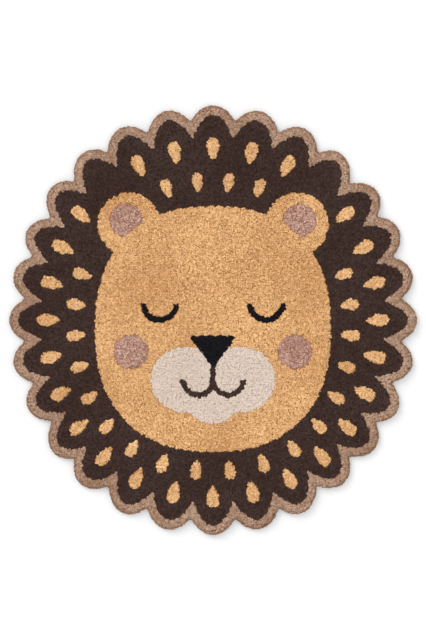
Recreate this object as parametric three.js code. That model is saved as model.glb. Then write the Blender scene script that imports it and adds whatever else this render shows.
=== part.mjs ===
// A kids' rug in the shape of a lion's head, tufted in short cut pile on one backing cloth.
// It lies flat on the floor. Its outline is a ring of even, rounded locks, its rim is rolled over by
// the pile that leans outward there, and its top is a little uneven, as tufted cotton is.
// Millimetres, +Z up. The origin is on the floor under the middle of the rug, and +Y is the top of
// the lion's head.
import * as THREE from "three";

// The rug's full size over the tips of its locks, and its height with the pile.
const WIDTH = 1000;
const HEIGHT = 1053;
const THICKNESS = 14;

// The locks round the edge. LOCK_DEPTH is from a lock's tip to the notch beside it. The power and the
// softening shape its arc: a lower power makes fuller locks, and more softening a wider notch.
const LOCKS = 28;
const LOCK_DEPTH = 34;
const LOCK_POWER = 0.28;
const NOTCH_SOFTENING = 0.014;
const POINTS_PER_LOCK = 10;

// A hand-cut edge wanders by a few millimetres. Each row is one slow wave round the edge.
const EDGE_WAVES = [
  { turns: 3, size: 3.0, phase: 0.7 },
  { turns: 11, size: 2.2, phase: 2.1 },
  { turns: 17, size: 1.8, phase: 4.0 },
];

// The pile's height rises and falls by about a millimetre across the top. Each row is one wave, with
// its length and heading in the plane of the rug.
const TOP_WAVES = [
  { length: 310, heading: 0.4, size: 0.5, phase: 0.3 },
  { length: 235, heading: 1.7, size: 0.4, phase: 2.2 },
  { length: 180, heading: 2.6, size: 0.3, phase: 4.4 },
];

// The section from the middle of the underside, round the rim and back to the middle of the top.
// inset is measured inward from the edge, and z up from the floor.
const RIM_SECTION = [
  { inset: 6, z: 0 },
  { inset: 1.8, z: 1.6 },
  { inset: 0, z: 5.0 },
  { inset: 0.8, z: 8.6 },
  { inset: 3.6, z: 11.8 },
  { inset: 9, z: 13.6 },
];
const TOP_RINGS = [22, 70, 130, 200, 275, 355, 435];

// Points above this height are on the top face, and below it on the rim, which stays even.
const TOP_FROM = 13.8;

// The radius of the plain oval through the tips of the locks, in the direction of angle.
function ovalRadius(angle) {
  const halfWidth = WIDTH / 2;
  const halfHeight = HEIGHT / 2;
  return (halfWidth * halfHeight) / Math.hypot(halfHeight * Math.cos(angle), halfWidth * Math.sin(angle));
}

// 1 at a lock's tip and 0 in the notch between two locks.
function lockArc(angle) {
  const swing = Math.cos((LOCKS / 2) * angle);
  const lowest = NOTCH_SOFTENING ** LOCK_POWER;
  const highest = (1 + NOTCH_SOFTENING) ** LOCK_POWER;
  return ((swing * swing + NOTCH_SOFTENING) ** LOCK_POWER - lowest) / (highest - lowest);
}

// The edge's wandering fades to nothing at the four outermost tips, which keep the rug's full size.
function edgeWander(angle) {
  const fade = Math.sin(2 * angle) ** 2;
  return EDGE_WAVES.reduce((sum, { turns, size, phase }) => {
    return sum + fade * size * Math.sin(turns * angle + phase);
  }, 0);
}

function edgeRadius(angle) {
  return ovalRadius(angle) - LOCK_DEPTH * (1 - lockArc(angle)) + edgeWander(angle);
}

function topWander(x, y) {
  return TOP_WAVES.reduce((sum, { length, heading, size, phase }) => {
    const along = x * Math.cos(heading) + y * Math.sin(heading);
    return sum + size * Math.sin((2 * Math.PI * along) / length + phase);
  }, 0);
}

// The section is turned about the rug's middle as a round disc, and each of its points is then moved
// out or in to follow the edge in its own direction.
function rugGeometry() {
  const meanRadius = (WIDTH + HEIGHT) / 4;
  const section = [
    new THREE.Vector2(0, 0),
    ...RIM_SECTION.map(({ inset, z }) => new THREE.Vector2(meanRadius - inset, z)),
    ...TOP_RINGS.map((inset) => new THREE.Vector2(meanRadius - inset, THICKNESS)),
    new THREE.Vector2(0, THICKNESS),
  ];
  const geometry = new THREE.LatheGeometry(section, LOCKS * POINTS_PER_LOCK);
  geometry.rotateX(Math.PI / 2);
  const places = geometry.getAttribute("position");
  for (let i = 0; i < places.count; i++) {
    const angle = Math.atan2(places.getY(i), places.getX(i));
    const stretch = edgeRadius(angle) / meanRadius;
    const x = places.getX(i) * stretch;
    const y = places.getY(i) * stretch;
    const z = places.getZ(i);
    places.setXYZ(i, x, y, z > TOP_FROM ? z + topWander(x, y) : z);
  }
  geometry.computeVertexNormals();
  return geometry;
}

// Cotton yarn in the colour of the lion's face, the largest field of the rug.
const yarn = new THREE.MeshStandardMaterial({ color: 0xd8a370, roughness: 0.95, metalness: 0 });

const rug = new THREE.Group();
const tuftedRug = new THREE.Mesh(rugGeometry(), yarn);
tuftedRug.name = "tufted_rug";
rug.add(tuftedRug);

export default rug;
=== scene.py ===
import math
import random

import bmesh
import bpy
import numpy as np
from mathutils import Matrix, Quaternion, Vector, kdtree, noise


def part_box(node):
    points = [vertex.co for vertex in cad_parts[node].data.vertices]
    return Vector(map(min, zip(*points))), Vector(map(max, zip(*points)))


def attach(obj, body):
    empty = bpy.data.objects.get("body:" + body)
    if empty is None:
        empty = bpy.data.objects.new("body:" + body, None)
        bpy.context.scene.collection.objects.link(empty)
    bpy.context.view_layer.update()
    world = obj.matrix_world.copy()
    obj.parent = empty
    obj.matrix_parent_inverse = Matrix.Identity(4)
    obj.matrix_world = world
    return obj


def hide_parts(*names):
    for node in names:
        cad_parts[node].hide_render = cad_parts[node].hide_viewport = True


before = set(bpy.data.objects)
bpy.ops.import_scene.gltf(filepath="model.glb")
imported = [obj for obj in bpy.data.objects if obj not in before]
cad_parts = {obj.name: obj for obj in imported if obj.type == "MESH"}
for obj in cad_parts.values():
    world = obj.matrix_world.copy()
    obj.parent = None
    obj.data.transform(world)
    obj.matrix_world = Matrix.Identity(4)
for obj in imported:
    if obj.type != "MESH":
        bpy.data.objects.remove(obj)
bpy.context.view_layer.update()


# The view. The photograph looks straight down on the rug, with the top of the lion's head at the top
# of the picture, so the camera hangs over its middle at the height where the rug spans as many
# pixels as it does there.
low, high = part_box("tufted_rug")
rug_width, rug_height, pile_top = high.x - low.x, high.y - low.y, high.z
RUG_WIDTH_PX = 410
PICTURE_HEIGHT_PX = 640
LENS_MM = 78
SENSOR_MM = 36  # along the picture's longer side, its height

pixel = rug_width / RUG_WIDTH_PX
camera = bpy.data.objects.new("camera", bpy.data.cameras.new("camera"))
camera.data.lens = LENS_MM
camera.data.sensor_width = SENSOR_MM
camera.location = (0, 0, pile_top + PICTURE_HEIGHT_PX * pixel * LENS_MM / SENSOR_MM)
bpy.context.collection.objects.link(camera)
bpy.context.scene.camera = camera


# The light. A white surround lights the rug evenly from all sides, and a broad soft lamp at the upper
# left makes the shadow a little deeper along the right and lower edges.
LAMP_FROM = Vector((-0.75, 0.85, 0.58))
LAMP_STRENGTH = 1.7
LAMP_ANGLE = 0.45
SURROUND_STRENGTH = 1.35

lamp = bpy.data.objects.new("lamp", bpy.data.lights.new("lamp", "SUN"))
lamp.data.angle = LAMP_ANGLE
lamp.data.energy = LAMP_STRENGTH
lamp.location = LAMP_FROM
lamp.rotation_euler = (-LAMP_FROM).to_track_quat("-Z", "Y").to_euler()
bpy.context.collection.objects.link(lamp)

surround = bpy.data.worlds.new("surround")
surround.use_nodes = True
surround.node_tree.nodes["Background"].inputs["Color"].default_value = (1, 1, 1, 1)
surround.node_tree.nodes["Background"].inputs["Strength"].default_value = SURROUND_STRENGTH
bpy.context.scene.world = surround
bpy.context.scene.view_settings.view_transform = "Standard"


# The floor, a pale, even sheet that runs far past the picture. Its white comes out just over full
# white in this light, so that only the deepest part of the rug's soft shadow shows on it, close to
# the edge.
FLOOR_SIZE = 14
FLOOR_WHITE = 0.655
FLOOR_ROUGHNESS = 0.9


class Wire:
    """An output in a node tree. Sums on it add Math nodes, and node() adds a node of any other kind."""

    def __init__(self, tree, socket=None):
        self.tree = tree
        self.socket = socket

    def node(self, kind, settings=None, values=None, out=0):
        """Adds a node, with its settings set first and then the values or links of its inputs."""
        made = self.tree.nodes.new(kind)
        for name, value in (settings or {}).items():
            setattr(made, name, value)
        for name, value in (values or {}).items():
            if isinstance(value, Wire):
                self.tree.links.new(value.socket, made.inputs[name])
            else:
                made.inputs[name].default_value = value
        return Wire(self.tree, made.outputs[out]) if len(made.outputs) else None

    def maths(self, operation, *others):
        return self.node("ShaderNodeMath", {"operation": operation}, dict(enumerate((self, *others))))

    def mix(self, first, second):
        """A colour that is first where this wire is 0 and second where it is 1."""
        return self.node("ShaderNodeMix", {"data_type": "RGBA"}, {0: self, 6: first, 7: second}, out=2)

    def multiply(self, colour):
        """The colour, made darker by this wire's grey."""
        settings = {"data_type": "RGBA", "blend_type": "MULTIPLY"}
        return self.node("ShaderNodeMix", settings, {0: 1.0, 6: self, 7: colour}, out=2)

    def __add__(self, other):
        return self.maths("ADD", other)

    def __mul__(self, other):
        return self.maths("MULTIPLY", other)

    def __sub__(self, other):
        return self.maths("SUBTRACT", other)

    def __rsub__(self, other):
        return self * -1 + other

    __radd__ = __add__
    __rmul__ = __mul__


def new_material(name):
    """An empty material, a wire to start its nodes from, and the function that gives it its surface."""
    material = bpy.data.materials.new(name)
    material.use_nodes = True
    tree = material.node_tree
    tree.nodes.clear()
    start = Wire(tree)

    def surface(**sockets):
        shader = start.node("ShaderNodeBsdfPrincipled", {}, {
            key.replace("_", " "): value for key, value in sockets.items()
        })
        start.node("ShaderNodeOutputMaterial", {}, {"Surface": shader})

    return material, start, surface


floor_bm = bmesh.new()
bmesh.ops.create_grid(floor_bm, x_segments=1, y_segments=1, size=FLOOR_SIZE / 2)
floor_mesh = bpy.data.meshes.new("floor")
floor_bm.to_mesh(floor_mesh)
floor_bm.free()
floor = bpy.data.objects.new("floor", floor_mesh)
floor_paint, start, surface = new_material("floor_paint")
surface(Base_Color=(FLOOR_WHITE, FLOOR_WHITE, FLOOR_WHITE, 1), Roughness=FLOOR_ROUGHNESS,
        Specular_IOR_Level=0)
floor_mesh.materials.append(floor_paint)
bpy.context.collection.objects.link(floor)


# The rug's outline, a ring of even rounded locks on an oval, cut out by hand. It is the outline of
# the CAD solid, in metres. Angles run anticlockwise from the rug's right, as seen from above, and
# every shape below takes single values or arrays of them.
LOCKS = 28
LOCK_DEPTH = 0.034
LOCK_POWER = 0.28
NOTCH_SOFTENING = 0.014
EDGE_WAVES = [
    {"turns": 3, "size": 0.0030, "phase": 0.7},
    {"turns": 11, "size": 0.0022, "phase": 2.1},
    {"turns": 17, "size": 0.0018, "phase": 4.0},
]
TOP_WAVES = [
    {"length": 0.310, "heading": 0.4, "size": 0.0005, "phase": 0.3},
    {"length": 0.235, "heading": 1.7, "size": 0.0004, "phase": 2.2},
    {"length": 0.180, "heading": 2.6, "size": 0.0003, "phase": 4.4},
]


def oval_radius(angle):
    half_width, half_height = rug_width / 2, rug_height / 2
    return half_width * half_height / np.hypot(half_height * np.cos(angle), half_width * np.sin(angle))


def lock_arc(angle, power=LOCK_POWER, softening=NOTCH_SOFTENING):
    """1 at a lock's tip and 0 in the notch between two locks."""
    swing = np.cos(LOCKS / 2 * angle)
    lowest = softening ** power
    highest = (1 + softening) ** power
    return ((swing * swing + softening) ** power - lowest) / (highest - lowest)


def edge_wander(angle):
    waves = sum(wave["size"] * np.sin(wave["turns"] * angle + wave["phase"]) for wave in EDGE_WAVES)
    return np.sin(2 * angle) ** 2 * waves


def edge_radius(angle):
    return oval_radius(angle) - LOCK_DEPTH * (1 - lock_arc(angle)) + edge_wander(angle)


def top_wander(x, y):
    """How far the top rises or falls at a point, as tufted cotton does."""
    total = 0
    for wave in TOP_WAVES:
        along = x * math.cos(wave["heading"]) + y * math.sin(wave["heading"])
        total = total + wave["size"] * np.sin(2 * math.pi * along / wave["length"] + wave["phase"])
    return total


# The lion's head, drawn for this rug from plain round shapes and the same on both sides, so only the
# distance from the middle line counts. A mane of petals carries two rings of strokes, and a round
# face has half-round ears, closed eyes, cheeks and a two-lobed muzzle.
MANE_INSET = 0.025  # from the locks' tips to the petals' tips
PETAL_DEPTH = 0.056
PETAL_POWER = 0.40
PETAL_SOFTENING = 0.004
FACE = {"x": 0, "y": -0.022, "half_width": 0.288, "half_height": 0.300, "power": 2.35}
EAR = {"x": 0.205, "y": 0.234, "radius": 0.077}
EAR_INNER = {"x": 0.212, "y": 0.243, "radius": 0.041}
CHEEK = {"x": 0.200, "y": -0.078, "radius": 0.042}
EYE = {"x": 0.130, "y": 0.040, "radius": 0.040, "half_line": 0.0075}
MUZZLE_LOBE = {"x": 0.064, "y": -0.146, "half_width": 0.088, "half_height": 0.080, "power": 2.1}
CHIN = {"x": 0, "y": -0.196, "half_width": 0.064, "half_height": 0.058, "power": 2.0}
NOSE = {"y": -0.068, "half_height": 0.030, "slant": 0.80, "corner": 0.010}
MOUTH = {"top": -0.098, "y": -0.146, "radius": 0.037, "half_line": 0.0068}
STROKE_RINGS = [
    {"share": 0.30, "turn": 0.5, "half_length": 0.0235, "half_width": 0.0130},
    {"share": 0.72, "turn": 0.0, "half_length": 0.0275, "half_width": 0.0145},
]
STROKE_TAPER = 0.35
STROKE_CLEARANCE = 0.009
HALVINGS = 20


def in_oval(x, y, shape):
    across = np.abs((x - shape["x"]) / shape["half_width"]) ** shape["power"]
    up = np.abs((y - shape["y"]) / shape["half_height"]) ** shape["power"]
    return across + up < 1


def in_circle(x, y, shape):
    return np.hypot(x - shape["x"], y - shape["y"]) < shape["radius"]


def in_mane(angle, radius):
    notch = 1 - lock_arc(angle, PETAL_POWER, PETAL_SOFTENING)
    return radius < oval_radius(angle) + edge_wander(angle) - MANE_INSET - PETAL_DEPTH * notch


def face_radius(angle):
    """How far from the rug's middle the face ends in one direction, by halving."""
    near, far = 0, oval_radius(angle)
    for _ in range(HALVINGS):
        half = (near + far) / 2
        if in_oval(half * math.cos(angle), half * math.sin(angle), FACE):
            near = half
        else:
            far = half
    return near


def stroke_radius(ring, lock):
    """How far out a ring's stroke lies, or 0 where an ear leaves no room for it."""
    angle = (lock + ring["turn"]) * 2 * math.pi / LOCKS
    inner = face_radius(angle)
    outer = oval_radius(angle) - MANE_INSET - PETAL_DEPTH / 2
    radius = inner + (outer - inner) * ring["share"]
    to_ear = math.hypot(abs(radius * math.cos(angle)) - EAR["x"], radius * math.sin(angle) - EAR["y"])
    has_room = to_ear > EAR["radius"] + ring["half_length"] + STROKE_CLEARANCE
    return radius if has_room else 0


def in_stroke(angle, radius, ring):
    """A stroke is a drop, with its round end towards the edge of the rug."""
    radii = np.array([stroke_radius(ring, lock) for lock in range(LOCKS)])
    lock = np.round(angle * LOCKS / (2 * math.pi) - ring["turn"]).astype(int) % LOCKS
    turn = angle - (lock + ring["turn"]) * 2 * math.pi / LOCKS
    along = (radius * np.cos(turn) - radii[lock]) / ring["half_length"]
    across = radius * np.sin(turn) / ring["half_width"] / (1 + STROKE_TAPER * along)
    return (along ** 2 + across ** 2 < 1) & (radii[lock] > 0)


def in_nose(side, y):
    """A triangle on its point, with its corners rounded."""
    rise = y - NOSE["y"]
    flank = NOSE["slant"] * side - math.sqrt(1 - NOSE["slant"] ** 2) * rise
    reach = NOSE["half_height"] - NOSE["corner"]
    return np.hypot(np.maximum(rise - reach, 0), np.maximum(flank - reach, 0)) < NOSE["corner"]


def in_mouth(side, y):
    smile = np.abs(np.hypot(side - MOUTH["radius"], y - MOUTH["y"]) - MOUTH["radius"])
    line = np.where(y > MOUTH["y"], side, smile)
    return (line < MOUTH["half_line"]) & (y < MOUTH["top"])


def in_eye(side, y):
    """A closed eye is the lower half of a ring."""
    line = np.abs(np.hypot(side - EYE["x"], y - EYE["y"]) - EYE["radius"])
    return (line < EYE["half_line"]) & (y < EYE["y"])


YARNS = ["border", "mane", "strokes", "face", "blush", "cream", "mouth", "black"]
OFF_RUG = -1
STRAY_WAVES = [
    {"length": 0.023, "bend": 0.037, "size": 0.0012},
    {"length": 0.0115, "bend": 0.019, "size": 0.0007},
]
STRAY_BEND = 3  # how many radians of a wave the bend shifts it by


def stray(along, across):
    """How far a seam strays from its line, because the tufting gun is led by hand."""
    total = 0
    for wave in STRAY_WAVES:
        bend = STRAY_BEND * np.sin(2 * math.pi * across / wave["bend"])
        total = total + wave["size"] * np.sin(2 * math.pi * along / wave["length"] + bend)
    return total


def yarn_at(x, y):
    """The place in YARNS of the yarn that is tufted at each point. Each layer lies over those before."""
    on_rug = np.hypot(x, y) < edge_radius(np.arctan2(y, x))
    x, y = x + stray(y, x), y + stray(x, y)
    side, angle, radius = np.abs(x), np.arctan2(y, x), np.hypot(x, y)
    muzzle = in_oval(side, y, MUZZLE_LOBE) | in_oval(x, y, CHIN)
    layers = [
        ("mane", in_mane(angle, radius)),
        ("strokes", in_stroke(angle, radius, STROKE_RINGS[0])),
        ("strokes", in_stroke(angle, radius, STROKE_RINGS[1])),
        ("face", in_circle(side, y, EAR)),
        ("blush", in_circle(side, y, EAR_INNER)),
        ("face", in_oval(x, y, FACE)),
        ("blush", in_circle(side, y, CHEEK)),
        ("cream", muzzle),
        ("mouth", muzzle & in_mouth(side, y)),
        ("black", in_nose(side, y) | in_eye(side, y)),
    ]
    found = np.zeros(np.shape(x), int) + YARNS.index("border")
    for yarn, inside in layers:
        found = np.where(inside, YARNS.index(yarn), found)
    return np.where(on_rug, found, OFF_RUG)


# The rug itself, a cotton cloth with a glued underside and the dense foot of the pile standing on
# it. It is turned from its section as a disc, pushed out to the outline, and dyed point by point in
# the yarn that stands there, because the foot of the pile shows between the tufts. Each yarn's colour
# there is darkened and deepened in hue by painted shade, as at the roots of the tufts.
YARN_COLOURS = {
    "border": (0.418, 0.268, 0.184),
    "mane": (0.050, 0.027, 0.0215),
    "strokes": (0.740, 0.440, 0.205),
    "face": (0.700, 0.400, 0.176),
    "blush": (0.470, 0.270, 0.205),
    "cream": (0.678, 0.567, 0.486),
    "mouth": (0.052, 0.028, 0.022),
    "black": (0.0058, 0.0052, 0.0072),
}
# Between the tufts the light comes back from yarn to yarn, so the roots are painted darker than the
# cut ends and deeper in hue, a painted shade, and in the palest yarn only a little darker.
PAINTED_ROOT_SHADES = {yarn: 0.62 for yarn in YARNS} | {"cream": 0.88}
PAINTED_ROOT_DEPTH = 1.40
FOOT_TOP = 0.0114
FOOT_RING = 0.010
FOOT_STEPS = LOCKS * 10
MERGED_WITHIN = 1e-6
FOOT_RIM = [
    {"inset": 0.0050, "z": 0},
    {"inset": 0.0040, "z": 0.0006},
    {"inset": 0.0044, "z": 0.0018},
    {"inset": 0.0078, "z": 0.0024},
    {"inset": 0.0092, "z": 0.0060},
    {"inset": 0.0120, "z": 0.0108},
]
UNDERSIDE = 1  # the place of the backing among the rug's materials
YARN_ROUGHNESS = 0.96
YARN_SHINE = 0.1
SPECKS_PER_M = 420
SPECK_AND_SHADE_CONTRAST = 1.2
SPECK_AND_SHADE_DARKEST = 0.25
SPECK_BUMP = 0.0030


def dyed(colour, shade, depth):
    """The yarn's colour, brighter or darker by shade, and deeper in hue where depth is above 1."""
    brightest = max(colour)
    return (*(shade * brightest * (part / brightest) ** depth for part in colour), 1)


mean_radius = (rug_width + rug_height) / 4
foot_section = [(0, 0)]
foot_section += [(mean_radius - point["inset"], point["z"]) for point in FOOT_RIM]
foot_rings = int(mean_radius / FOOT_RING) - 1
foot_section += [(FOOT_RING * ring, FOOT_TOP) for ring in range(foot_rings, -1, -1)]

foot_bm = bmesh.new()
section_verts = [foot_bm.verts.new((radius, 0, z)) for radius, z in foot_section]
section_edges = [foot_bm.edges.new(pair) for pair in zip(section_verts, section_verts[1:])]
bmesh.ops.spin(foot_bm, geom=section_verts + section_edges, cent=(0, 0, 0), axis=(0, 0, 1),
               angle=2 * math.pi, steps=FOOT_STEPS, use_merge=True)
bmesh.ops.remove_doubles(foot_bm, verts=foot_bm.verts, dist=MERGED_WITHIN)
bmesh.ops.recalc_face_normals(foot_bm, faces=foot_bm.faces)
yarn_with_painted_shade = foot_bm.verts.layers.float_color.new("yarn")
for vert in foot_bm.verts:
    stretch = edge_radius(math.atan2(vert.co.y, vert.co.x)) / mean_radius
    vert.co.x *= stretch
    vert.co.y *= stretch
    if vert.co.z > FOOT_RIM[-1]["z"]:
        vert.co.z += top_wander(vert.co.x, vert.co.y)
foot_yarns = yarn_at(*np.array([vert.co.xy for vert in foot_bm.verts]).T)
# Each point of the foot takes the yarn there, darkened and deepened in hue by painted shade.
for vert, yarn in zip(foot_bm.verts, foot_yarns):
    yarn = YARNS[max(yarn, 0)]
    vert[yarn_with_painted_shade] = dyed(YARN_COLOURS[yarn], PAINTED_ROOT_SHADES[yarn], PAINTED_ROOT_DEPTH)
for face in foot_bm.faces:
    face.smooth = True
    if face.calc_center_median().z < FOOT_RIM[1]["z"]:
        face.material_index = UNDERSIDE

# The left half of the map holds the top and the rim, and the right half the underside.
foot_map = foot_bm.loops.layers.uv.new("OFBake")
for face in foot_bm.faces:
    under = face.material_index == UNDERSIDE
    for loop in face.loops:
        across = (loop.vert.co.x - low.x) / rug_width
        up = (loop.vert.co.y - low.y) / rug_height
        loop[foot_map].uv = ((across + under) / 2, up)

# The area inside the outline, as the cloth was cut out.
step_angles = np.linspace(0, 2 * math.pi, FOOT_STEPS, endpoint=False)
cut_area = math.pi * float(np.mean(edge_radius(step_angles) ** 2))

foot_mesh = bpy.data.meshes.new("rug_body")
foot_bm.to_mesh(foot_mesh)
foot_bm.free()
rug_body = bpy.data.objects.new("rug_body", foot_mesh)
bpy.context.collection.objects.link(rug_body)

# The foot's specks come from the same noise as its bump, so they are darker in its hollows and darken it
# on the whole: partly the yarn's own specks and partly painted shade.
foot_yarn, start, surface = new_material("foot_yarn")
dye = start.node("ShaderNodeAttribute", {"attribute_name": "yarn"})
place = start.node("ShaderNodeTexCoord", out="Object")
specks = start.node("ShaderNodeTexNoise", {}, {"Vector": place, "Scale": SPECKS_PER_M, "Detail": 3})
surface(Base_Color=(specks * SPECK_AND_SHADE_CONTRAST + SPECK_AND_SHADE_DARKEST).multiply(dye), Roughness=YARN_ROUGHNESS,
        Specular_IOR_Level=YARN_SHINE,
        Normal=start.node("ShaderNodeBump", {}, {"Height": specks, "Distance": SPECK_BUMP}))
foot_mesh.materials.append(foot_yarn)

# The cotton backing shows only on the underside, a plain weave with a thin coat of glue.
WEAVE_PITCH = 0.0024
WEAVE_COLOUR = (0.60, 0.53, 0.43, 1)
WEAVE_SHADE = (0.40, 0.34, 0.26, 1)
WEAVE_ROUGHNESS = 0.9
WEAVE_BUMP = 0.0004
SLUBS_PER_M = 60
THREAD_SHARE = 0.6  # the slubs in the threads make up the rest of the weave's light and shade

backing, start, surface = new_material("backing")
place = start.node("ShaderNodeTexCoord", out="Object")
across = start.node("ShaderNodeSeparateXYZ", {}, {0: place}, out="X") * (2 * math.pi / WEAVE_PITCH)
up = start.node("ShaderNodeSeparateXYZ", {}, {0: place}, out="Y") * (2 * math.pi / WEAVE_PITCH)
threads = across.maths("SINE") * up.maths("SINE") * 0.5 + 0.5
slubs = start.node("ShaderNodeTexNoise", {}, {"Vector": place, "Scale": SLUBS_PER_M, "Detail": 4})
cloth = threads * THREAD_SHARE + slubs * (1 - THREAD_SHARE)
surface(Base_Color=cloth.mix(WEAVE_SHADE, WEAVE_COLOUR), Roughness=WEAVE_ROUGHNESS,
        Normal=start.node("ShaderNodeBump", {}, {"Height": threads, "Distance": WEAVE_BUMP}))
foot_mesh.materials.append(backing)


# The pile. Every tuft is a cotton yarn of three strands, cut off level, whose strands have come apart
# and lean out from one root. A strand is narrow at its root and widest just under its cut end. It has
# eight faces, because there are over a hundred thousand of them.
TUFT_ROOT = 0.0086
TUFT_LENGTH = 0.0054
STRANDS = 3
STRAND_SIDES = 4
STRAND_HALF_WIDTH = 0.0021
SHOULDER = 0.80  # how far up its widest part is
ROOT_OUT = 0.0007
TIP_OUT = 0.0013
SHORTER = 0.07  # what each strand lacks of the one before
STRAND_TONES = [0.12, 0, -0.12]  # how much lighter than its tuft each strand is
# On the map a strand is a disc round its tip, MAP_OUT from the middle of its tuft.
MAP_RADII = {"tip": 0, "shoulder": 0.34, "root": 0.46}
MAP_OUT = 0.52

tuft_bm = bmesh.new()
tuft_map = tuft_bm.loops.layers.uv.new("tuft_map")
strand_tone = tuft_bm.verts.layers.float.new("strand_tone")
for strand in range(STRANDS):
    way = 2 * math.pi * strand / STRANDS
    made = bmesh.ops.create_uvsphere(tuft_bm, u_segments=STRAND_SIDES, v_segments=2, radius=1)["verts"]
    for face in {face for vert in made for face in vert.link_faces}:
        middle = face.calc_center_median()
        for loop in face.loops:
            height = round(loop.vert.co.z)
            angle = math.atan2(*(loop.vert.co if height == 0 else middle).yx)
            radius = MAP_RADII[{1: "tip", 0: "shoulder", -1: "root"}[height]]
            loop[tuft_map].uv = (MAP_OUT * math.cos(way) + radius * math.cos(angle),
                                 MAP_OUT * math.sin(way) + radius * math.sin(angle))
        face.smooth = True
    for vert in made:
        vert[strand_tone] = STRAND_TONES[strand]
        level = {1: 1, 0: SHOULDER, -1: 0}[round(vert.co.z)]
        out = ROOT_OUT + (TIP_OUT - ROOT_OUT) * level
        vert.co = (out + STRAND_HALF_WIDTH * vert.co.x, STRAND_HALF_WIDTH * vert.co.y,
                   TUFT_LENGTH * level * (1 - SHORTER * strand))
    bmesh.ops.rotate(tuft_bm, verts=made, cent=(0, 0, 0), matrix=Matrix.Rotation(way, 3, "Z"))
tuft_mesh = bpy.data.meshes.new("tuft")
tuft_bm.to_mesh(tuft_mesh)
tuft_bm.free()
tuft_pattern = bpy.data.objects.new("tuft", tuft_mesh)
bpy.context.collection.objects.link(tuft_pattern)


# Where the tufts stand. The outermost rows follow the edge and lean out over the side of the rug.
# The rest fills each yarn's field in level rows, half a step apart. A tufter keeps a little clear of
# the seam between two yarns, so the tufts there line up along it.
EDGE_ROWS = [
    {"inset": 0.0058, "root": 0.0028, "length": 1.05, "lean": 1.25},
    {"inset": 0.0062, "root": 0.0030, "length": 1.40, "lean": 0.66},
    {"inset": 0.0074, "root": 0.0032, "length": 1.80, "lean": 0.32},
    {"inset": 0.0100, "root": 0.0060, "length": 1.45, "lean": 0.12},
]
FILL_INSET = 0.0122
EDGE_STEPS = LOCKS * 72
EDGE_TUFT_PITCH = 0.0037
TUFT_PITCH = 0.0049
ROW_PITCH = 0.88  # times the pitch along the row
TUFT_JITTER = 0.0010
CLOSEST = 0.0024  # of two tufts nearer than this, the second is left out
SEAM_CLEARANCE = 0.0021
SEAM_GRID = 0.001
SPREAD_SHARE = 0.22  # how much of the way each round of spreading out goes
SPREAD_ROUNDS = 4

dice = random.Random(5)
noise.seed_set(5)

# The rug's edge and the seams between its yarns, found on a fine grid.
grid_x, grid_y = np.meshgrid(np.arange(low.x - SEAM_GRID, high.x + 2 * SEAM_GRID, SEAM_GRID),
                             np.arange(low.y - SEAM_GRID, high.y + 2 * SEAM_GRID, SEAM_GRID))
grid_yarn = yarn_at(grid_x, grid_y)


def places_where(differs):
    """A search tree of the grid's places where the yarn changes in a way that differs accepts."""
    found = []
    for shift_x, shift_y in ((SEAM_GRID / 2, 0), (0, SEAM_GRID / 2)):
        rows = slice(0, -1) if shift_y else slice(None)
        columns = slice(0, -1) if shift_x else slice(None)
        after = grid_yarn[1:] if shift_y else grid_yarn[:, 1:]
        at = np.nonzero(differs(grid_yarn[rows, columns], after))
        found += zip(grid_x[at] + shift_x, grid_y[at] + shift_y)
    tree = kdtree.KDTree(len(found))
    for number, (x, y) in enumerate(found):
        tree.insert((x, y, 0), number)
    tree.balance()
    return tree


rug_edge = places_where(lambda one, other: (one == OFF_RUG) != (other == OFF_RUG))
seams = places_where(lambda one, other: (one != other) & (one != OFF_RUG) & (other != OFF_RUG))


def edge_row(inset):
    """Places along a row at that inset from the edge, square to it, each with the way out."""
    angles = np.linspace(0, 2 * math.pi, EDGE_STEPS + 1)
    radii = edge_radius(angles)
    edge = np.stack([radii * np.cos(angles), radii * np.sin(angles)], 1)
    along = np.roll(edge[:-1], -1, 0) - np.roll(edge[:-1], 1, 0)
    out = np.stack([along[:, 1], -along[:, 0]], 1) / np.linalg.norm(along, axis=1)[:, None]
    row = edge[:-1] - inset * out
    row, out = np.vstack([row, row[:1]]), np.vstack([out, out[:1]])
    walked = np.concatenate([[0], np.cumsum(np.linalg.norm(np.diff(row, axis=0), axis=1))])
    stops = np.arange(dice.uniform(0, EDGE_TUFT_PITCH), walked[-1] - EDGE_TUFT_PITCH / 2, EDGE_TUFT_PITCH)
    return [np.interp(stops, walked, part) for part in (row[:, 0], row[:, 1], out[:, 0], out[:, 1])]


def level_rows(pitch, jitter):
    """Places all over the rug's box in level rows, each row half a step on from the last."""
    for row in range(int(rug_height / pitch / ROW_PITCH) + 1):
        for step in range(int(rug_width / pitch) + 1):
            yield (low.x + (step + row % 2 / 2) * pitch + dice.gauss(0, jitter),
                   low.y + row * pitch * ROW_PITCH + dice.gauss(0, jitter))


# Each tuft so far is a place on the rug, the height of its root, and the way and share that it leans.
tufts = []
for row in EDGE_ROWS:
    for x, y, out_x, out_y in zip(*edge_row(row["inset"])):
        inward = abs(dice.gauss(0, TUFT_JITTER))
        tufts.append({"x": x - inward * out_x, "y": y - inward * out_y, "root": row["root"],
                      "length": row["length"], "lean": (out_x * row["lean"], out_y * row["lean"])})
for x, y in level_rows(TUFT_PITCH, TUFT_JITTER):
    is_inside = math.hypot(x, y) < edge_radius(math.atan2(y, x))
    if is_inside and rug_edge.find((x, y, 0))[2] > FILL_INSET:
        tufts.append({"x": x, "y": y, "root": TUFT_ROOT, "length": 1, "lean": (0, 0)})


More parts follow.
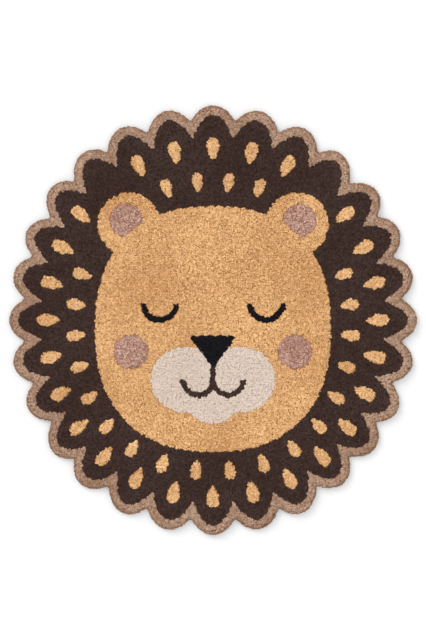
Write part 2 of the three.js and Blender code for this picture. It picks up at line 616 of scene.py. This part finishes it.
def spread_out(tufts):
    """Moves the tufts of the fill a little away from those that stand nearer than the pitch."""
    near = kdtree.KDTree(len(tufts))
    for number, tuft in enumerate(tufts):
        near.insert((tuft["x"], tuft["y"], tuft["root"]), number)
    near.balance()
    for number, tuft in enumerate(tufts):
        if tuft["root"] < TUFT_ROOT:
            continue
        here = Vector((tuft["x"], tuft["y"], tuft["root"]))
        push = Vector()
        for place, _, gap in near.find_range(here, TUFT_PITCH):
            if gap > 0:
                push += (here - place) * (TUFT_PITCH / gap - 1)
        tuft["x"] += SPREAD_SHARE * push.x
        tuft["y"] += SPREAD_SHARE * push.y


def keep_clear_of_seams(tufts):
    for tuft in tufts:
        here = Vector((tuft["x"], tuft["y"], 0))
        seam, _, gap = seams.find(here)
        if 0 < gap < SEAM_CLEARANCE:
            here = seam + (here - seam) * (SEAM_CLEARANCE / gap)
            tuft["x"], tuft["y"] = here.x, here.y


for _ in range(SPREAD_ROUNDS):
    keep_clear_of_seams(tufts)
    spread_out(tufts)
# The second time clears the tufts that the first pushed from one seam towards another.
keep_clear_of_seams(tufts)
keep_clear_of_seams(tufts)


# What makes each tuft differ: how it leans, how wide and tall it stands, and how it took the dye.
# Washed cotton pile draws together in clumps of a few tufts, with partings between them, more so in
# some patches of the rug than in others, and the whole pile sweeps one way or another. A row of
# spreads says how far from the usual a clump or a tuft is in each way.
CLUMP_PITCH = 0.0074
CLUMP_JITTER = 0.0024
CLUMP_LEAN = 0.40
CLUMP_CROWN = 0.08
CLUMP_SPREADS = {"lean": 0.10, "height": 0.05, "tone": 0.05}
CLUMPS_TRIED = 3
NO_CLUMP = {"lean": (0, 0), "height": 0, "tone": 0}
TUFT_SPREADS = {"roughness": 0.10, "lean": 0.10, "width": 0.08, "height": 0.08, "tone": 0.18}
TUFT_WIDTH = 1.12
MIDDLE_TONE = 0.5
MIDDLE_ROUGHNESS = 0.5
PATCHES_PER_M = 18
ROUGHNESS_LAYER = 0.4  # the heights at which the two patterns of patches are read from the noise
SWEEP_LAYER = 0.02
SWEEP = 0.30
SWEEP_TONE = 0.06
PARTING = 0.0040
PARTING_DROP = 0.10

clumps = []
for x, y in level_rows(CLUMP_PITCH, CLUMP_JITTER):
    lean = (dice.gauss(0, CLUMP_SPREADS["lean"]), dice.gauss(0, CLUMP_SPREADS["lean"]))
    height = dice.gauss(0, CLUMP_SPREADS["height"])
    clumps.append({"x": x, "y": y, "lean": lean, "height": height,
                   "tone": dice.gauss(0, CLUMP_SPREADS["tone"])})
clump_yarns = yarn_at(*np.array([(clump["x"], clump["y"]) for clump in clumps]).T)
clump_tree = kdtree.KDTree(len(clumps))
for number, clump in enumerate(clumps):
    clump_tree.insert((clump["x"], clump["y"], 0), number)
clump_tree.balance()

pile = {yarn: [] for yarn in YARNS}
taken = kdtree.KDTree(len(tufts))
for number, tuft in enumerate(tufts):
    taken.insert((tuft["x"], tuft["y"], tuft["root"]), number)
taken.balance()
dropped = set()
tuft_yarns = yarn_at(*np.array([(tuft["x"], tuft["y"]) for tuft in tufts]).T)
for number, (tuft, yarn) in enumerate(zip(tufts, tuft_yarns)):
    place = Vector((tuft["x"], tuft["y"], tuft["root"]))
    crowd = {other for _, other, gap in taken.find_range(place, CLOSEST)
             if other < number and tufts[other]["root"] == tuft["root"]}
    if yarn == OFF_RUG or crowd - dropped:
        dropped.add(number)
        continue
    own_clumps = [other for _, other, _ in clump_tree.find_n((tuft["x"], tuft["y"], 0), CLUMPS_TRIED)
                  if clump_yarns[other] == yarn]
    clump = clumps[own_clumps[0]] if own_clumps else {**NO_CLUMP, "x": tuft["x"], "y": tuft["y"]}
    to_clump = Vector((clump["x"] - tuft["x"], clump["y"] - tuft["y"])) / CLUMP_PITCH
    patch = noise.noise(Vector((tuft["x"], tuft["y"], ROUGHNESS_LAYER)) * PATCHES_PER_M)
    roughness = MIDDLE_ROUGHNESS + patch + dice.gauss(0, TUFT_SPREADS["roughness"])
    drawn = CLUMP_LEAN * max(0, roughness)
    sweep = noise.noise_vector(Vector((tuft["x"], tuft["y"], SWEEP_LAYER)) * PATCHES_PER_M)
    lean = Vector((*(
        edge + drawn * inward + together + SWEEP * swept + dice.gauss(0, TUFT_SPREADS["lean"])
        for edge, inward, together, swept in zip(tuft["lean"], to_clump, clump["lean"], sweep)), 1))
    is_parted = seams.find((tuft["x"], tuft["y"], 0))[2] < PARTING
    width = TUFT_WIDTH + dice.gauss(0, TUFT_SPREADS["width"])
    height = 1 + clump["height"] - CLUMP_CROWN * to_clump.length + dice.gauss(0, TUFT_SPREADS["height"])
    height -= PARTING_DROP * is_parted
    tone = MIDDLE_TONE + clump["tone"] + SWEEP_TONE * sweep.z + dice.gauss(0, TUFT_SPREADS["tone"])
    turn = lean.to_track_quat("Z", "Y") @ Quaternion((0, 0, 1), dice.uniform(0, 2 * math.pi))
    place.z += float(top_wander(tuft["x"], tuft["y"]))
    pile[YARNS[yarn]].append({"place": place, "turn": turn.to_euler(), "tone": max(0, min(1, tone)),
                              "size": (width, width, height * tuft["length"])})


# The pieces of pile. A tuft is stood on each point and ruffled as washed yarn is, and the tufts of one
# yarn are joined in one piece. The mane and the face are too wide for that and meet at the middle.
RUFFLE = 0.0021
RUFFLE_SCALE = 480
MAP_SHARE = 0.46  # a tuft's size on its piece's map, times the pitch
MAP_MARGIN = 0.004


def tufting_tree(corner, span):
    """The nodes that stand a tuft on every point, ruffle it, and lay it out on the piece's map."""
    tree = bpy.data.node_groups.new("tufting", "GeometryNodeTree")
    tree.interface.new_socket("Rows", in_out="INPUT", socket_type="NodeSocketGeometry")
    tree.interface.new_socket("Pile", in_out="OUTPUT", socket_type="NodeSocketGeometry")
    start = Wire(tree)

    def point_value(name):
        return start.node("GeometryNodeInputNamedAttribute", {"data_type": "FLOAT_VECTOR"}, {"Name": name})

    standing = start.node("GeometryNodeInstanceOnPoints", {}, {
        "Points": start.node("NodeGroupInput"),
        "Instance": start.node("GeometryNodeObjectInfo", {}, {"Object": tuft_pattern}, "Geometry"),
        "Rotation": point_value("turn"),
        "Scale": point_value("size"),
    })
    joined = start.node("GeometryNodeRealizeInstances", {}, {0: standing})
    ruffle = start.node("ShaderNodeTexNoise", {}, {"Scale": RUFFLE_SCALE, "Detail": 1}, "Color")
    offset = start.node("ShaderNodeVectorMath", {"operation": "SUBTRACT"}, {0: ruffle, 1: (0.5, 0.5, 0.5)})
    offset = start.node("ShaderNodeVectorMath", {"operation": "SCALE"}, {0: offset, "Scale": RUFFLE})
    ruffled = start.node("GeometryNodeSetPosition", {}, {"Geometry": joined, "Offset": offset})
    spread = start.node("ShaderNodeVectorMath", {"operation": "MULTIPLY_ADD"}, {
        0: point_value("tuft_map"), 1: (TUFT_PITCH * MAP_SHARE,) * 3, 2: point_value("place")})
    spread = start.node("ShaderNodeVectorMath", {"operation": "SUBTRACT"}, {0: spread, 1: (*corner, 0)})
    spread = start.node("ShaderNodeVectorMath", {"operation": "DIVIDE"}, {0: spread, 1: (*span, 1)})
    mapped = start.node("GeometryNodeStoreNamedAttribute", {"data_type": "FLOAT2", "domain": "CORNER"}, {
        "Geometry": ruffled, "Name": "OFBake", "Value": spread})
    start.node("NodeGroupOutput", {}, {0: mapped})
    return tree


def pile_piece(name, tufts):
    """One piece of pile, its tufts joined into one mesh with its place in the mesh."""
    mesh = bpy.data.meshes.new(name)
    mesh.from_pydata([tuft["place"] for tuft in tufts], [], [])
    for key in ("place", "turn", "size"):
        flat = [part for tuft in tufts for part in tuft[key]]
        mesh.attributes.new(key, "FLOAT_VECTOR", "POINT").data.foreach_set("vector", flat)
    tones = [tuft["tone"] for tuft in tufts]
    mesh.attributes.new("tone", "FLOAT", "POINT").data.foreach_set("value", tones)
    rows = bpy.data.objects.new(name, mesh)
    bpy.context.collection.objects.link(rows)
    xs = [tuft["place"].x for tuft in tufts]
    ys = [tuft["place"].y for tuft in tufts]
    corner = (min(xs) - MAP_MARGIN, min(ys) - MAP_MARGIN)
    span = (max(xs) + MAP_MARGIN - corner[0], max(ys) + MAP_MARGIN - corner[1])
    rows.modifiers.new("tufting", "NODES").node_group = tufting_tree(corner, span)
    depsgraph = bpy.context.evaluated_depsgraph_get()
    joined = bpy.data.meshes.new_from_object(rows.evaluated_get(depsgraph), depsgraph=depsgraph)
    rows.modifiers.clear()
    rows.data = joined
    bpy.data.meshes.remove(mesh)
    joined.name = name
    joined.materials.clear()
    for spent in ("place", "turn", "size", "tuft_map"):
        if spent in joined.attributes:
            joined.attributes.remove(joined.attributes[spent])
    return rows


# The yarn, dull cut cotton. No two tufts take the dye alike, the light catches their cut ends one by
# one, their roots are in shade, and the fibres fray at the tips. Each yarn varies by its own contrast.
DYE_CONTRASTS = {
    "border": 0.27, "mane": 0.34, "strokes": 0.21, "face": 0.21,
    "blush": 0.36, "cream": 0.04, "mouth": 0.34, "black": 0.45,
}
TUFT_TONES = 1.3
FIBRE_TONES_AND_SHADE = 0.6
PATCH_TONES = 0.4
DARKEST_AT = 0.72  # the sum of the tones at which the dye is at its darkest
FIBRES_PER_M = 1000
FIBRE_SQUEEZE = 0.3
FIBRE_BUMP = 0.0016
NAP = 0.45  # how far the cut ends of the fibres turn the shading upwards
# Between these heights the painted root shade gives way to the yarn's own colour.
SHADE_FROM = 0.0095
SHADE_TO = 0.0137
FUZZ = 0.04
FUZZ_ROUGHNESS = 0.5


def yarn_material(yarn):
    colour, contrast = YARN_COLOURS[yarn], DYE_CONTRASTS[yarn]
    material, start, surface = new_material("yarn_" + yarn)
    tone = start.node("ShaderNodeAttribute", {"attribute_name": "tone"}, out="Fac")
    tone = tone + start.node("ShaderNodeAttribute", {"attribute_name": "strand_tone"}, out="Fac")
    place = start.node("ShaderNodeTexCoord", out="Object")
    upright = start.node("ShaderNodeMapping", {}, {"Vector": place, "Scale": (1, 1, FIBRE_SQUEEZE)})
    fibres = start.node("ShaderNodeTexNoise", {}, {"Vector": upright, "Scale": FIBRES_PER_M, "Detail": 2})
    patches = start.node("ShaderNodeTexNoise", {}, {"Vector": place, "Scale": PATCHES_PER_M, "Detail": 0})
    height = start.node("ShaderNodeSeparateXYZ", {}, {0: place}, out="Z")
    # The strands are painted darker and deeper in hue towards their roots, a painted shade by height.
    depth = start.node("ShaderNodeMapRange", {}, {
        "Value": height, "From Min": SHADE_FROM, "From Max": SHADE_TO})
    root = dyed(colour, PAINTED_ROOT_SHADES[yarn], PAINTED_ROOT_DEPTH)
    dark = dyed(colour, 1 - contrast, 1 + contrast / 2)
    light = dyed(colour, 1 + contrast, 1 - contrast / 2)
    # The fibres' noise lightens the colour where it raises the bump, so the grooves between fibres are
    # darker: partly the fibres' own tone and partly painted shade.
    tones = tone * TUFT_TONES + fibres * FIBRE_TONES_AND_SHADE + patches * PATCH_TONES - DARKEST_AT
    facing = start.node("ShaderNodeNewGeometry", {}, {}, "Normal")
    nap = start.node("ShaderNodeVectorMath", {"operation": "MULTIPLY_ADD"}, {
        0: facing, 1: (1 - NAP, 1 - NAP, 1 - NAP), 2: (0, 0, NAP)})
    nap = start.node("ShaderNodeVectorMath", {"operation": "NORMALIZE"}, {0: nap})
    bump = start.node("ShaderNodeBump", {}, {"Height": fibres, "Distance": FIBRE_BUMP, "Normal": nap})
    surface(Base_Color=depth.mix(root, tones.mix(dark, light)), Roughness=YARN_ROUGHNESS,
            Specular_IOR_Level=YARN_SHINE, Normal=bump, Sheen_Weight=FUZZ, Sheen_Roughness=FUZZ_ROUGHNESS)
    return material


# The rug put together. The ten pieces of pile and the cloth that they stand on move as one, and the
# cloth takes the place of the CAD solid. A side of -1 or 1 is the left or right of the middle line.
PIECES = [
    {"name": "pile_border", "yarn": "border", "side": 0, "slot": "yarn_border"},
    {"name": "pile_mane_left", "yarn": "mane", "side": -1, "slot": "yarn_mane"},
    {"name": "pile_mane_right", "yarn": "mane", "side": 1, "slot": "yarn_mane"},
    {"name": "pile_strokes", "yarn": "strokes", "side": 0, "slot": "yarn_face"},
    {"name": "pile_face_left", "yarn": "face", "side": -1, "slot": "yarn_face"},
    {"name": "pile_face_right", "yarn": "face", "side": 1, "slot": "yarn_face"},
    {"name": "pile_blush", "yarn": "blush", "side": 0, "slot": "yarn_blush"},
    {"name": "pile_cream", "yarn": "cream", "side": 0, "slot": "yarn_cream"},
    {"name": "pile_black", "yarn": "black", "side": 0, "slot": "yarn_black"},
    {"name": "pile_mouth", "yarn": "mouth", "side": 0, "slot": "yarn_mane"},
]

materials = {yarn: yarn_material(yarn) for yarn in YARNS}
for piece in PIECES:
    on_side = [tuft for tuft in pile[piece["yarn"]] if tuft["place"].x * piece["side"] >= 0]
    made = pile_piece(piece["name"], on_side)
    made.data.materials.append(materials[piece["yarn"]])
    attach(made, "root")
bpy.data.objects.remove(tuft_pattern)

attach(rug_body, "root")
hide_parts("tufted_rug")
